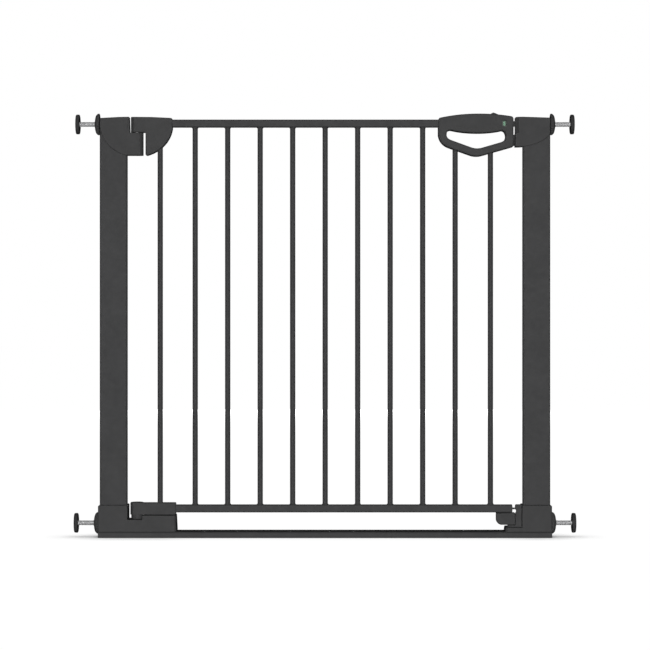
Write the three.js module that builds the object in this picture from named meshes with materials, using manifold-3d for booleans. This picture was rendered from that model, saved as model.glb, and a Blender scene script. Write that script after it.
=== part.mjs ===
// Pressure-fit safety gate for a doorway or the foot of a stair.
// A U-shaped frame (floor bar and two posts) is wedged between two walls by four threaded
// spindles. A barred leaf turns on two pins beside the left post. It is opened by sliding the
// release on top of the handle, lifting the leaf and swinging it either way.
// Millimetres. X runs across the doorway, Y from the front of the gate to its back, Z up.
// Origin: on the floor, in the middle of the gate.
import * as THREE from 'three';
import { mergeVertices } from 'three/addons/utils/BufferGeometryUtils.js';
import Module from 'manifold-3d';

const wasm = await Module();
wasm.setup();

// ---- Clearances and plate data ----
const GAP = 0.3; // between pieces that touch
const SEAM = 0.15; // half the joint line between a front and a rear shell
const TUBE_WALL = 1.4;
const MERGE_DISTANCE = 1e-4;

// ---- Driving dimensions: frame ----
const FLOOR_BAR = { halfLength: 389, depth: 49, height: 10.3 };
const POST = { inner: 340, outer: 387.4, depth: 16, bottom: 34, top: 702.5 };
const POST_CENTRE = (POST.inner + POST.outer) / 2;
const POST_WIDTH = POST.outer - POST.inner;
const HOUSING_HALF_DEPTH = 10;
const HOUSING_TOP = 722.6;
const FOOT = { depth: 47.6, outer: 388.9, bottom: FLOOR_BAR.height + GAP, top: 55.6 };

// ---- Driving dimensions: hinge ----
const HINGE_X = -323.3;
const KNUCKLE_RADIUS = 11;
const PIN_RADIUS = 4;
const BORE_RADIUS = PIN_RADIUS + 0.35;
const TONGUE_TOP = 694.5; // top of the fixed tongue under the moving one
const HINGE_WALL_X = -335.3; // wall of the post housing beside the knuckles
// Underside of both upper hinge pieces: an oval that is flat at its lowest point.
const HINGE_OVAL = { x: -324.5, z: 709.8, halfWidth: 62.9, halfHeight: 56.3, floor: 656.2 };
const HINGE_ARM = { right: -262.1, lowerLeft: -308.5, top: 722.4 };
const LOWER_HINGE = { left: -336, right: -256.6, bottom: 38.5, top: 60, knuckleRadius: 12 };
const HINGE_LEG = { radius: 10.2, bottom: 31.4 };
const NOTCH = { left: -337.9, right: -312.6, floor: 31, shoulder: 38.1 };

// ---- Driving dimensions: leaf ----
const RAIL = { depth: 14, height: 13.3 };
const TOP_RAIL = { z: 711.3, left: -300, right: 236 };
const BOTTOM_RAIL = { z: 48.8, left: -304, right: 321.9 };
const BAR_RADIUS = 4.6;
const BAR_PITCH = 55.95;
const BAR_OFFSET = 0.3;
const HINGE_BAR_X = -283.7;
const LATCH_BAR_X = 284.8;
const TOP_RAIL_UNDERSIDE = TOP_RAIL.z - RAIL.height / 2;
const BOTTOM_RAIL_TOP = BOTTOM_RAIL.z + RAIL.height / 2;

// ---- Driving dimensions: handle and latch ----
const HANDLE_HALF_DEPTH = 11.5;
const HANDLE_WALL = 3;
const HANDLE = { left: 194.5, right: 324 };
const NOSE_X = 326.7; // latch housing face that the bolt meets
const LATCH_OVAL = { x: 329.2, z: 704.2, halfWidth: 61.8, halfHeight: 33.6 }; // its underside
const BOLT = { left: 268, right: NOSE_X - GAP, bottom: 706, top: 715.5, halfDepth: 4 };
const RELEASE_TRAVEL = 10;
const SLIDER = { left: 280, right: 298, halfDepth: 6, floor: 722 };
const STEM = { left: 284, right: 292, halfDepth: 3 };
const FLAG = { left: 303.4, right: 321.8, front: -6.6, back: -4.4 };
const WINDOW = { x: 308.2, z: 711, width: 7, height: 10.2 };
const LEDGE = { left: 309, top: 17.5 }; // part of the latch foot under the latch shoe
const WEB_X = 327.4; // edge of the latch foot's web, which also runs on under the latch shoe
const SHOE = { left: 294.4, right: WEB_X - 0.5, bottom: 21, halfDepth: 7 };

// ---- Driving dimensions: pressure spindles ----
const WHEEL = { radius: 18.6, thickness: 8.7 };
const PAD = { radius: 17, thickness: 6.4, recess: 3.2, recessRadius: 12.2 };
const SPINDLE = { radius: 4, flangeRadius: 11.8, flangeThickness: 2.6 };
const CORNERS = [
  { name: 'top_left', side: -1, z: 709.9, face: POST.outer, padFace: 428.5 },
  { name: 'top_right', side: 1, z: 709.9, face: POST.outer, padFace: 428.5 },
  { name: 'bottom_left', side: -1, z: 24, face: FOOT.outer, padFace: 431.3 },
  { name: 'bottom_right', side: 1, z: 24, face: FOOT.outer, padFace: 431.3 },
];
const SPINDLE_LENGTH = 60; // from its inner end to the wall
const SPINDLE_BORE_END = 342; // |X| where the spindle bores stop

// ---- Materials ----
const finish = (color, roughness, metalness) =>
  new THREE.MeshStandardMaterial({ color, roughness, metalness });
const paintedSteel = finish(0x444446, 0.5, 0.3);
const mouldedPlastic = finish(0x454546, 0.6, 0);
const zincSteel = finish(0xc4c6c8, 0.3, 1);
const rubber = finish(0x3c3c3d, 0.85, 0);
const clearPlastic = finish(0xd8efe0, 0.1, 0);
const flagColour = finish(0x74b78e, 0.5, 0);

// ---- Outlines ----
// A closed outline through corners [x, y, cut]. Each corner is rounded off between the points
// that lie the distance "cut" before and after it.
function roundedOutline(corners) {
  const shape = new THREE.Shape();
  corners.forEach(([x, y, cut = 0], index) => {
    const corner = new THREE.Vector2(x, y);
    const before = new THREE.Vector2(...corners.at(index - 1));
    const after = new THREE.Vector2(...corners[(index + 1) % corners.length]);
    const entry = before.sub(corner).setLength(cut).add(corner);
    const exit = after.sub(corner).setLength(cut).add(corner);
    if (index === 0) shape.moveTo(entry.x, entry.y);
    else shape.lineTo(entry.x, entry.y);
    if (cut > 0) shape.quadraticCurveTo(x, y, exit.x, exit.y);
  });
  return shape;
}

function rectangle(left, right, low, high, cut = 0) {
  return roundedOutline([[left, low, cut], [right, low, cut], [right, high, cut], [left, high, cut]]);
}

function circle(radius, x = 0, y = 0) {
  const shape = new THREE.Shape();
  shape.absarc(x, y, radius, 0, 2 * Math.PI);
  return shape;
}

function oval({ x, z, halfWidth, halfHeight }) {
  const shape = new THREE.Shape();
  shape.absellipse(x, z, halfWidth, halfHeight, 0, 2 * Math.PI);
  return shape;
}

// ---- Solids from outlines ----
// An outline drawn across X is in (Y, Z), across Y in (X, Z), and across Z in (X, Y).
const UNIT = {
  x: new THREE.Vector3(1, 0, 0),
  y: new THREE.Vector3(0, 1, 0),
  z: new THREE.Vector3(0, 0, 1),
};
const EXTRUDE_FRAME = {
  x: new THREE.Matrix4().makeBasis(UNIT.y, UNIT.z, UNIT.x),
  y: new THREE.Matrix4().makeBasis(UNIT.x, UNIT.z, UNIT.y.clone().negate()),
  z: new THREE.Matrix4(),
};

function extrude(shape, axis, from, to, curveSegments = 4) {
  const geometry = new THREE.ExtrudeGeometry(shape, {
    depth: to - from,
    bevelEnabled: false,
    curveSegments,
  });
  geometry.applyMatrix4(EXTRUDE_FRAME[axis]);
  const start = axis === 'y' ? to : from;
  const shift = UNIT[axis].clone().multiplyScalar(start);
  return geometry.translate(shift.x, shift.y, shift.z);
}

function block(x, y, z) {
  return extrude(rectangle(x[0], x[1], z[0], z[1]), 'y', y[0], y[1]);
}

function rod(axis, radius, from, to, u, v, segments = 24) {
  return extrude(circle(radius, u, v), axis, from, to, segments / 2);
}

function tube(outer, inner, axis, from, to, curveSegments = 3) {
  outer.holes.push(inner);
  return extrude(outer, axis, from, to, curveSegments);
}

// Revolves [radius, height] points about the Z axis.
function turned(points, segments = 24) {
  const profile = points.map(([radius, height]) => new THREE.Vector2(radius, height));
  return new THREE.LatheGeometry(profile, segments).rotateX(Math.PI / 2);
}

// ---- Cutting and joining ----
function toSolid(geometry) {
  const bare = geometry.clone();
  bare.deleteAttribute('normal');
  bare.deleteAttribute('uv');
  const merged = mergeVertices(bare, MERGE_DISTANCE);
  const mesh = new wasm.Mesh({
    numProp: 3,
    vertProperties: merged.attributes.position.array,
    triVerts: Uint32Array.from(merged.index.array),
  });
  return new wasm.Manifold(mesh);
}

function toGeometry(solid) {
  const mesh = solid.getMesh();
  const geometry = new THREE.BufferGeometry();
  geometry.setAttribute('position', new THREE.BufferAttribute(mesh.vertProperties, 3));
  geometry.setIndex(new THREE.BufferAttribute(mesh.triVerts, 1));
  geometry.computeVertexNormals();
  return geometry;
}

function combine(operation, first, others) {
  const result = others.reduce((solid, other) => solid[operation](toSolid(other)), toSolid(first));
  return toGeometry(result);
}
const cut = (body, ...tools) => combine('subtract', body, tools);
const join = (body, ...parts) => combine('add', body, parts);
const keep = (body, ...limits) => combine('intersect', body, limits);

// ---- The gate ----
const gate = new THREE.Group();

function add(name, geometry, material) {
  const mesh = new THREE.Mesh(geometry, material.clone());
  mesh.name = name;
  gate.add(mesh);
  return mesh;
}

// The front and rear shell of one casing: the same body on the two sides of the joint line.
function addShells(name, body, halfDepth, front = [], rear = []) {
  const reach = 500;
  const side = (from, to) => block([-reach, reach], [from, to], [0, 2 * reach]);
  add(`${name}_front`, cut(keep(body, side(-halfDepth, -SEAM)), ...front), mouldedPlastic);
  add(`${name}_rear`, cut(keep(body, side(SEAM, halfDepth)), ...rear), mouldedPlastic);
}

// ---- Screws that pull a rear shell to its front shell ----
const SCREW = { radius: 1.5, headRadius: 2.9, headDepth: 1.8, tipY: -6, recess: 0.6 };

function screwCutter([x, z], backY) {
  const shank = rod('y', SCREW.radius + GAP, SCREW.tipY - GAP, backY, x, z, 12);
  const headFrom = backY - SCREW.recess - SCREW.headDepth - GAP;
  return join(shank, rod('y', SCREW.headRadius + GAP, headFrom, backY + 1, x, z, 12));
}

function addScrews(name, positions, backY) {
  const headTop = backY - SCREW.recess;
  const headUnder = headTop - SCREW.headDepth;
  positions.forEach(([x, z], index) => {
    const points = [
      [0, SCREW.tipY],
      [SCREW.radius, SCREW.tipY + 1],
      [SCREW.radius, headUnder],
      [SCREW.headRadius, headUnder],
      [SCREW.headRadius, headTop],
      [0, headTop],
    ];
    const screw = add(`${name}_screw_${index + 1}`, turned(points, 12), zincSteel);
    screw.rotation.x = -Math.PI / 2;
    screw.position.set(x, 0, z);
  });
}

// ---- Frame: floor bar and posts ----
function addFloorBar() {
  const half = FLOOR_BAR.depth / 2;
  const outer = roundedOutline([
    [-half, 0, 1],
    [half, 0, 1],
    [half, FLOOR_BAR.height, 3.5],
    [-half, FLOOR_BAR.height, 3.5],
  ]);
  const inner = rectangle(-half + 2, half - 2, TUBE_WALL, FLOOR_BAR.height - TUBE_WALL, 2);
  const bar = tube(outer, inner, 'x', -FLOOR_BAR.halfLength, FLOOR_BAR.halfLength);
  add('floor_bar', bar, paintedSteel);
}

function addPosts() {
  for (const [name, side] of [['left_post', -1], ['right_post', 1]]) {
    const x = side * POST_CENTRE;
    const halfWidth = POST_WIDTH / 2;
    const halfDepth = POST.depth / 2;
    const outer = rectangle(x - halfWidth, x + halfWidth, -halfDepth, halfDepth, 3);
    const inner = rectangle(
      x - halfWidth + TUBE_WALL,
      x + halfWidth - TUBE_WALL,
      -halfDepth + TUBE_WALL,
      halfDepth - TUBE_WALL,
      1.8,
    );
    add(name, tube(outer, inner, 'z', POST.bottom, POST.top), paintedSteel);
  }
}

// Space for a post inside a housing or foot.
function postPocket(side, low, high) {
  const edges = [side * (POST.inner - GAP), side * (POST.outer + GAP)].sort((a, b) => a - b);
  const halfDepth = POST.depth / 2 + GAP;
  return block(edges, [-halfDepth, halfDepth], [low, high]);
}

function spindleBore(side, z) {
  const ends = [side * SPINDLE_BORE_END, side * (FOOT.outer + 5)].sort((a, b) => a - b);
  return rod('x', SPINDLE.radius + 0.4, ends[0], ends[1], 0, z);
}

// A block that is round about the hinge axis on its side towards the wall or the leaf.
function knuckleLimit(radius, towards) {
  const far = HINGE_X + towards * 200;
  const edges = [HINGE_X, far].sort((a, b) => a - b);
  const depth = 20;
  const slab = block(edges, [-depth, depth], [0, 800]);
  return join(slab, rod('z', radius, 0, 800, HINGE_X, 0, 48));
}

// ---- Upper hinge: housing on the post, and the arm that turns on it ----
const HINGE_HOUSING_SCREWS = [[-334, 672], [-361, 718]];
const HINGE_ARM_SCREWS = [[-297.5, 682], [-270.5, 695]];

// The space above the oval underside of a casing, up to 800 mm.
function aboveOval(outline) {
  const bowl = extrude(oval(outline), 'y', -20, 20, 48);
  const sides = [outline.x - outline.halfWidth, outline.x + outline.halfWidth];
  const space = join(bowl, block(sides, [-20, 20], [outline.z, 800]));
  return keep(space, block(sides, [-20, 20], [outline.floor ?? 0, 800]));
}

function addHingeHousing() {
  const outline = roundedOutline([
    [-POST.outer, 640],
    [HINGE_X + KNUCKLE_RADIUS + 1, 640],
    [HINGE_X + KNUCKLE_RADIUS + 1, TONGUE_TOP],
    [HINGE_WALL_X, TONGUE_TOP],
    [HINGE_WALL_X - 0.9, HOUSING_TOP, 2],
    [-355, HOUSING_TOP - 0.4, 8],
    [-POST.outer, HOUSING_TOP - 2.2, 3],
  ]);
  const plate = extrude(outline, 'y', -HOUSING_HALF_DEPTH, HOUSING_HALF_DEPTH);
  const body = cut(
    keep(plate, aboveOval(HINGE_OVAL), knuckleLimit(KNUCKLE_RADIUS, -1)),
    postPocket(-1, 600, POST.top + GAP),
    spindleBore(-1, CORNERS[0].z),
    rod('z', BORE_RADIUS, 659.5, 730, HINGE_X, 0),
  );
  const screwHoles = HINGE_HOUSING_SCREWS.map((at) => screwCutter(at, HOUSING_HALF_DEPTH));
  addShells('hinge_housing', body, HOUSING_HALF_DEPTH, screwHoles, screwHoles);
  addScrews('hinge_housing', HINGE_HOUSING_SCREWS, HOUSING_HALF_DEPTH);
}

function addHingeArm() {
  const left = HINGE_X - KNUCKLE_RADIUS - 1;
  const underside = TONGUE_TOP + 1.2;
  const outline = roundedOutline([
    [HINGE_ARM.lowerLeft, 640],
    [HINGE_ARM.right, 640],
    [HINGE_ARM.right, HINGE_ARM.top - 2, 4],
    [-298, HINGE_ARM.top - 0.3, 8],
    [left, HINGE_ARM.top],
    [left, underside],
    [HINGE_ARM.lowerLeft, underside],
  ]);
  const plate = extrude(outline, 'y', -HOUSING_HALF_DEPTH, HOUSING_HALF_DEPTH);
  const railDepth = RAIL.depth / 2 + GAP;
  const railHeight = RAIL.height / 2 + GAP;
  const body = cut(
    keep(plate, aboveOval(HINGE_OVAL), knuckleLimit(KNUCKLE_RADIUS - 0.2, 1)),
    rod('z', BORE_RADIUS, 690, 716, HINGE_X, 0),
    block(
      [TOP_RAIL.left - GAP, HINGE_ARM.right + 5],
      [-railDepth, railDepth],
      [TOP_RAIL.z - railHeight, TOP_RAIL.z + railHeight],
    ),
    rod('z', BAR_RADIUS + GAP, 640, TOP_RAIL_UNDERSIDE, HINGE_BAR_X, 0),
  );
  const screwHoles = HINGE_ARM_SCREWS.map((at) => screwCutter(at, HOUSING_HALF_DEPTH));
  addShells('hinge_arm', body, HOUSING_HALF_DEPTH, screwHoles, screwHoles);
  addScrews('hinge_arm', HINGE_ARM_SCREWS, HOUSING_HALF_DEPTH);
}

function addHingePins() {
  for (const [name, low, high] of [['lower_hinge_pin', 14.5, 55], ['upper_hinge_pin', 660, 715]]) {
    const chamfer = 0.8;
    const points = [
      [0, low],
      [PIN_RADIUS - chamfer, low],
      [PIN_RADIUS, low + chamfer],
      [PIN_RADIUS, high - chamfer],
      [PIN_RADIUS - chamfer, high],
      [0, high],
    ];
    const pin = add(name, turned(points), zincSteel);
    pin.position.x = HINGE_X;
  }
}

// ---- Feet ----
function footPlan(left, right, [leftCut, rightCut]) {
  const half = FOOT.depth / 2;
  const plan = roundedOutline([
    [left, -half, leftCut],
    [right, -half, rightCut],
    [right, half, rightCut],
    [left, half, leftCut],
  ]);
  return extrude(plan, 'z', 0, 100);
}

function addHingeFoot() {
  const outline = roundedOutline([
    [-FOOT.outer, FOOT.bottom],
    [-254.6, FOOT.bottom],
    [-256.2, NOTCH.shoulder, 1.5],
    [NOTCH.right, NOTCH.shoulder, 1],
    [NOTCH.right, NOTCH.floor],
    [NOTCH.left, NOTCH.floor],
    [NOTCH.left, FOOT.top, 3],
    [-FOOT.outer, FOOT.top, 4],
  ]);
  const plate = extrude(outline, 'y', -FOOT.depth / 2, FOOT.depth / 2);
  const body = cut(
    keep(plate, footPlan(-FOOT.outer, -254.6, [3, 7])),
    postPocket(-1, POST.bottom - GAP, 70),
    spindleBore(-1, CORNERS[2].z),
    rod('z', BORE_RADIUS, 14, 40, HINGE_X, 0),
  );
  add('hinge_foot', body, mouldedPlastic);
}

function addLatchFoot() {
  const half = FOOT.depth / 2;
  const blockLeft = POST.inner - 2;
  const ledge = roundedOutline([
    [LEDGE.left, FOOT.bottom],
    [FOOT.outer, FOOT.bottom],
    [FOOT.outer, FOOT.top, 4],
    [blockLeft, FOOT.top, 1.5],
    [blockLeft, LEDGE.top],
    [LEDGE.left + 2.2, LEDGE.top, 1.5],
  ]);
  const web = roundedOutline([
    [WEB_X, FOOT.top, 2.5],
    [WEB_X, SHOE.bottom - 0.5],
    [LEDGE.left + 6, SHOE.bottom - 0.5, 1.5],
    [LEDGE.left + 3, LEDGE.top - 1],
    [345, LEDGE.top - 1],
    [345, FOOT.top],
  ]);
  const base = keep(extrude(ledge, 'y', -half, half), footPlan(LEDGE.left, FOOT.outer, [7, 3]));
  const body = cut(
    join(base, extrude(web, 'y', -6, 6)),
    postPocket(1, POST.bottom - GAP, 70),
    spindleBore(1, CORNERS[3].z),
  );
  add('latch_foot', body, mouldedPlastic);
}

// ---- Latch housing on the right post ----
const LATCH_HOUSING_SCREWS = [[334.5, 684], [361, 718]];

function addLatchHousing() {
  const outline = roundedOutline([
    [NOSE_X, 660],
    [POST.outer, 660],
    [POST.outer, HOUSING_TOP - 1.6, 3],
    [340, HOUSING_TOP],
    [NOSE_X, HOUSING_TOP - 0.4, 3],
  ]);
  const depth = HOUSING_HALF_DEPTH + 1;
  const chamferFloor = 693.6;
  const chamfer = (side) => {
    const corner = new THREE.Shape();
    corner.moveTo(NOSE_X - 1, side * 3.5);
    corner.lineTo(NOSE_X + 6.5, side * HOUSING_HALF_DEPTH);
    corner.lineTo(NOSE_X + 6.5, side * depth);
    corner.lineTo(NOSE_X - 1, side * depth);
    return extrude(corner, 'z', chamferFloor, 740);
  };
  const body = cut(
    keep(extrude(outline, 'y', -HOUSING_HALF_DEPTH, HOUSING_HALF_DEPTH), aboveOval(LATCH_OVAL)),
    chamfer(-1),
    chamfer(1),
    postPocket(1, 600, POST.top + GAP),
    spindleBore(1, CORNERS[1].z),
  );
  const screwHoles = LATCH_HOUSING_SCREWS.map((at) => screwCutter(at, HOUSING_HALF_DEPTH));
  addShells('latch_housing', body, HOUSING_HALF_DEPTH, screwHoles, screwHoles);
  addScrews('latch_housing', LATCH_HOUSING_SCREWS, HOUSING_HALF_DEPTH);
}

// ---- Leaf: rails and bars ----
function railTube(rail) {
  const halfDepth = RAIL.depth / 2;
  const halfHeight = RAIL.height / 2;
  const section = (inset, corner) =>
    rectangle(-halfDepth + inset, halfDepth - inset, rail.z - halfHeight + inset,
      rail.z + halfHeight - inset, corner);
  return tube(section(0, 2), section(TUBE_WALL, 1), 'x', rail.left, rail.right);
}

function addLeafTubes() {
  add('top_rail', railTube(TOP_RAIL), paintedSteel);
  add('bottom_rail', railTube(BOTTOM_RAIL), paintedSteel);
  const underHandle = { [4]: 671, [5]: 666.5 };
  for (let step = -5; step <= 5; step += 1) {
    const regular = BAR_OFFSET + BAR_PITCH * step;
    const x = { [-5]: HINGE_BAR_X, [5]: LATCH_BAR_X }[step] ?? regular;
    const top = underHandle[step] ?? TOP_RAIL_UNDERSIDE - GAP;
    const bar = tube(circle(BAR_RADIUS), circle(BAR_RADIUS - 1), 'z', BOTTOM_RAIL_TOP + GAP, top, 8);
    const number = String(step + 6).padStart(2, '0');
    add(`bar_${number}`, bar, paintedSteel).position.x = x;
  }
}

// ---- Leaf: lower hinge block, latch shoe and rail end ----
function addLowerHingeBlock() {
  const outline = roundedOutline([
    [LOWER_HINGE.left, LOWER_HINGE.bottom],
    [LOWER_HINGE.right, LOWER_HINGE.bottom, 2],
    [LOWER_HINGE.right, LOWER_HINGE.top - 1.1, 2],
    [-311.5, LOWER_HINGE.top - 1.1],
    [-312.5, LOWER_HINGE.top],
    [LOWER_HINGE.left, LOWER_HINGE.top, 5],
  ]);
  const railDepth = RAIL.depth / 2 + GAP;
  const railHeight = RAIL.height / 2 + GAP;
  const arm = keep(
    extrude(outline, 'y', -HOUSING_HALF_DEPTH, HOUSING_HALF_DEPTH),
    knuckleLimit(LOWER_HINGE.knuckleRadius, 1),
  );
  const leg = rod('z', HINGE_LEG.radius, HINGE_LEG.bottom, BOTTOM_RAIL.z, HINGE_X, 0, 48);
  const body = cut(
    join(arm, leg),
    block(
      [BOTTOM_RAIL.left - GAP, LOWER_HINGE.right + 5],
      [-railDepth, railDepth],
      [BOTTOM_RAIL.z - railHeight, BOTTOM_RAIL.z + railHeight],
    ),
    rod('z', BAR_RADIUS + GAP, BOTTOM_RAIL.z, 70, HINGE_BAR_X, 0),
    rod('z', BORE_RADIUS, 30, 56, HINGE_X, 0),
  );
  add('lower_hinge_block', body, mouldedPlastic);
}

function addLatchShoe() {
  const top = BOTTOM_RAIL.z - RAIL.height / 2 - GAP;
  const outline = roundedOutline([
    [SHOE.left, top],
    [SHOE.left, SHOE.bottom, 11],
    [SHOE.right, SHOE.bottom, 1.5],
    [SHOE.right, top, 1.5],
  ]);
  add('latch_shoe', extrude(outline, 'y', -SHOE.halfDepth, SHOE.halfDepth), mouldedPlastic);
}

function addRailEndPlug() {
  const halfDepth = RAIL.depth / 2 - TUBE_WALL - GAP;
  const halfHeight = RAIL.height / 2 - TUBE_WALL - GAP;
  const plug = block(
    [306, BOTTOM_RAIL.right],
    [-halfDepth, halfDepth],
    [BOTTOM_RAIL.z - halfHeight, BOTTOM_RAIL.z + halfHeight],
  );
  const pin = rod('x', 1.6, 315, WEB_X - GAP, 0, BOTTOM_RAIL.z, 12);
  add('rail_end_plug', join(plug, pin), mouldedPlastic);
}

// ---- Handle: two shells round the rail end, two bars and the release ----
const HANDLE_SCREWS = [[202, 698], [317.3, 684], [259.5, 661.4]];

function handleOutline() {
  const { left, right } = HANDLE;
  const outline = new THREE.Shape();
  outline.moveTo(left, 692);
  outline.lineTo(left, 714);
  outline.quadraticCurveTo(left, 720.2, 198, 721);
  outline.bezierCurveTo(220, 725.6, 240, 727.9, 264, 727.9);
  outline.bezierCurveTo(282, 727.9, 301, 726.7, 319.5, 723.6);
  outline.quadraticCurveTo(right, 722.8, right, 718.6);
  outline.lineTo(right, 673.6);
  outline.quadraticCurveTo(right, 671.2, 321.4, 670.5);
  outline.lineTo(270, 655.9);
  outline.quadraticCurveTo(259.2, 652.8, 248.4, 656.7);
  outline.lineTo(213, 669.2);
  outline.quadraticCurveTo(197, 674.9, left, 691);
  return outline;
}

function handOpening() {
  const opening = new THREE.Shape();
  opening.moveTo(217.5, 699);
  opening.bezierCurveTo(240, 693.3, 278, 692.5, 303.2, 698.5);
  opening.quadraticCurveTo(309.4, 698.6, 310.4, 689);
  opening.quadraticCurveTo(310.4, 681.5, 302, 678.7);
  opening.lineTo(270, 669.4);
  opening.quadraticCurveTo(260.4, 666.6, 251, 670);
  opening.lineTo(217.5, 682.2);
  opening.quadraticCurveTo(209, 685.3, 209, 691);
  opening.quadraticCurveTo(209, 698.6, 214.5, 699.2);
  return opening;
}

function latchChamber() {
  const boltHalf = BOLT.halfDepth + GAP;
  const boltSpace = block(
    [BOLT.left - RELEASE_TRAVEL - 2, HANDLE.right + 5],
    [-boltHalf, boltHalf],
    [BOLT.bottom - GAP, BOLT.top + GAP],
  );
  const flagSpace = block(
    [FLAG.left - RELEASE_TRAVEL - GAP, FLAG.right + GAP],
    [FLAG.front - GAP, 0],
    [BOLT.bottom - GAP, BOLT.top + GAP],
  );
  const sliderTrack = block(
    [SLIDER.left - RELEASE_TRAVEL - GAP, SLIDER.right + GAP],
    [-SLIDER.halfDepth - GAP, SLIDER.halfDepth + GAP],
    [SLIDER.floor - GAP, 740],
  );
  const stemSlot = block(
    [STEM.left - RELEASE_TRAVEL - GAP, STEM.right + GAP],
    [-STEM.halfDepth - GAP, STEM.halfDepth + GAP],
    [BOLT.top, SLIDER.floor],
  );
  return [boltSpace, flagSpace, sliderTrack, stemSlot];
}

function windowOutline(margin) {
  const halfWidth = WINDOW.width / 2 + margin;
  const halfHeight = WINDOW.height / 2 + margin;
  return rectangle(WINDOW.x - halfWidth, WINDOW.x + halfWidth, WINDOW.z - halfHeight,
    WINDOW.z + halfHeight, 2);
}

function addHandle() {
  const plate = extrude(handleOutline(), 'y', -HANDLE_HALF_DEPTH, HANDLE_HALF_DEPTH, 6);
  const railDepth = RAIL.depth / 2 + GAP;
  const railHeight = RAIL.height / 2 + GAP;
  const body = cut(
    plate,
    extrude(handOpening(), 'y', -20, 20, 6),
    block(
      [HANDLE.left - 5, TOP_RAIL.right + GAP],
      [-railDepth, railDepth],
      [TOP_RAIL.z - railHeight, TOP_RAIL.z + railHeight],
    ),
    rod('z', BAR_RADIUS + GAP, 640, 671.3, BAR_OFFSET + 4 * BAR_PITCH, 0),
    rod('z', BAR_RADIUS + GAP, 640, 666.8, LATCH_BAR_X, 0),
    ...latchChamber(),
  );
  const screwHoles = HANDLE_SCREWS.map((at) => screwCutter(at, HANDLE_HALF_DEPTH));
  const windowHole = extrude(windowOutline(0), 'y', -HANDLE_HALF_DEPTH - 1, FLAG.front);
  addShells('handle', body, HANDLE_HALF_DEPTH, [...screwHoles, windowHole], screwHoles);
  addScrews('handle', HANDLE_SCREWS, HANDLE_HALF_DEPTH);

  const paneBack = -HANDLE_HALF_DEPTH + HANDLE_WALL;
  const pane = extrude(windowOutline(-GAP), 'y', -HANDLE_HALF_DEPTH + 0.5, paneBack);
  add('indicator_window', pane, clearPlastic);
}

// ---- Release: thumb slider, lock bolt and the flag behind the window ----
function addRelease() {
  const top = roundedOutline([
    [SLIDER.left, SLIDER.floor],
    [SLIDER.right, SLIDER.floor],
    [SLIDER.right, 726.8, 1],
    [289.1, 730.6, 2.5],
    [284.8, 727.6],
    [SLIDER.left, 727.4, 1],
  ]);
  const cap = extrude(top, 'y', -SLIDER.halfDepth, SLIDER.halfDepth);
  const stem = block(
    [STEM.left, STEM.right],
    [-STEM.halfDepth, STEM.halfDepth],
    [BOLT.top + GAP, SLIDER.floor + 1],
  );
  add('release_slider', join(cap, stem), mouldedPlastic);

  const boltOutline = rectangle(BOLT.left, BOLT.right, BOLT.bottom, BOLT.top, 1);
  add('lock_bolt', extrude(boltOutline, 'y', -BOLT.halfDepth, BOLT.halfDepth), mouldedPlastic);

  const flag = block([FLAG.left, FLAG.right], [FLAG.front, FLAG.back], [BOLT.bottom, BOLT.top]);
  add('indicator_flag', flag, flagColour);
}

function addLatchBuffer() {
  const outline = rectangle(HANDLE.right + GAP, NOSE_X - GAP, 673, 692, 0.8);
  add('latch_buffer', extrude(outline, 'y', -5, 5), rubber);
}

// ---- Pressure spindles: hand wheel, threaded spindle and wall pad at each corner ----
// The profiles give the distance from the middle of the gate, before they are turned to a side.
function wheelProfile(face) {
  const { radius, thickness } = WHEEL;
  const bore = SPINDLE.radius + GAP;
  return [
    [bore, face],
    [radius - 1, face],
    [radius, face + 1],
    [radius, face + 2.6],
    [radius - 1.2, face + 4.4],
    [radius - 3.6, face + 6.3],
    [radius - 8.4, face + 7.8],
    [bore, face + thickness],
    [bore, face],
  ];
}

function spindleProfile(padFace) {
  const start = padFace - SPINDLE_LENGTH;
  const flange = padFace - PAD.thickness + GAP;
  return [
    [0, start],
    [SPINDLE.radius - 0.6, start],
    [SPINDLE.radius, start + 0.8],
    [SPINDLE.radius, flange],
    [SPINDLE.flangeRadius, flange],
    [SPINDLE.flangeRadius, flange + SPINDLE.flangeThickness],
    [0, flange + SPINDLE.flangeThickness],
  ];
}

function padProfile(padFace) {
  const inner = padFace - PAD.thickness;
  return [
    [0, inner + PAD.recess],
    [PAD.recessRadius, inner + PAD.recess],
    [PAD.recessRadius, inner],
    [PAD.radius - 1, inner],
    [PAD.radius, inner + 1],
    [PAD.radius, padFace - 0.8],
    [PAD.radius - 0.8, padFace],
    [0, padFace],
  ];
}

function addPressureCorner({ name, side, z, face, padFace }) {
  const pieces = [
    [`${name}_wheel`, turned(wheelProfile(face + GAP), 32), mouldedPlastic],
    [`${name}_spindle`, turned(spindleProfile(padFace), 20), zincSteel],
    [`${name}_pad`, turned(padProfile(padFace), 28), rubber],
  ];
  for (const [pieceName, geometry, material] of pieces) {
    const piece = add(pieceName, geometry, material);
    piece.rotation.y = side * Math.PI / 2;
    piece.position.z = z;
  }
}

addFloorBar();
addPosts();
addHingeFoot();
addLatchFoot();
addHingeHousing();
addLatchHousing();
addHingePins();
addHingeArm();
addLowerHingeBlock();
addLeafTubes();
addLatchShoe();
addRailEndPlug();
addHandle();
addRelease();
addLatchBuffer();
CORNERS.forEach(addPressureCorner);

export default gate;
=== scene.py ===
"""The looks of a pressure-fit safety gate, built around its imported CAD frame.

Lengths in this script are in millimetres until a mesh is made, which is in metres.
"""
import math

import bmesh
import bpy
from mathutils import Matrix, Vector, noise


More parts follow.
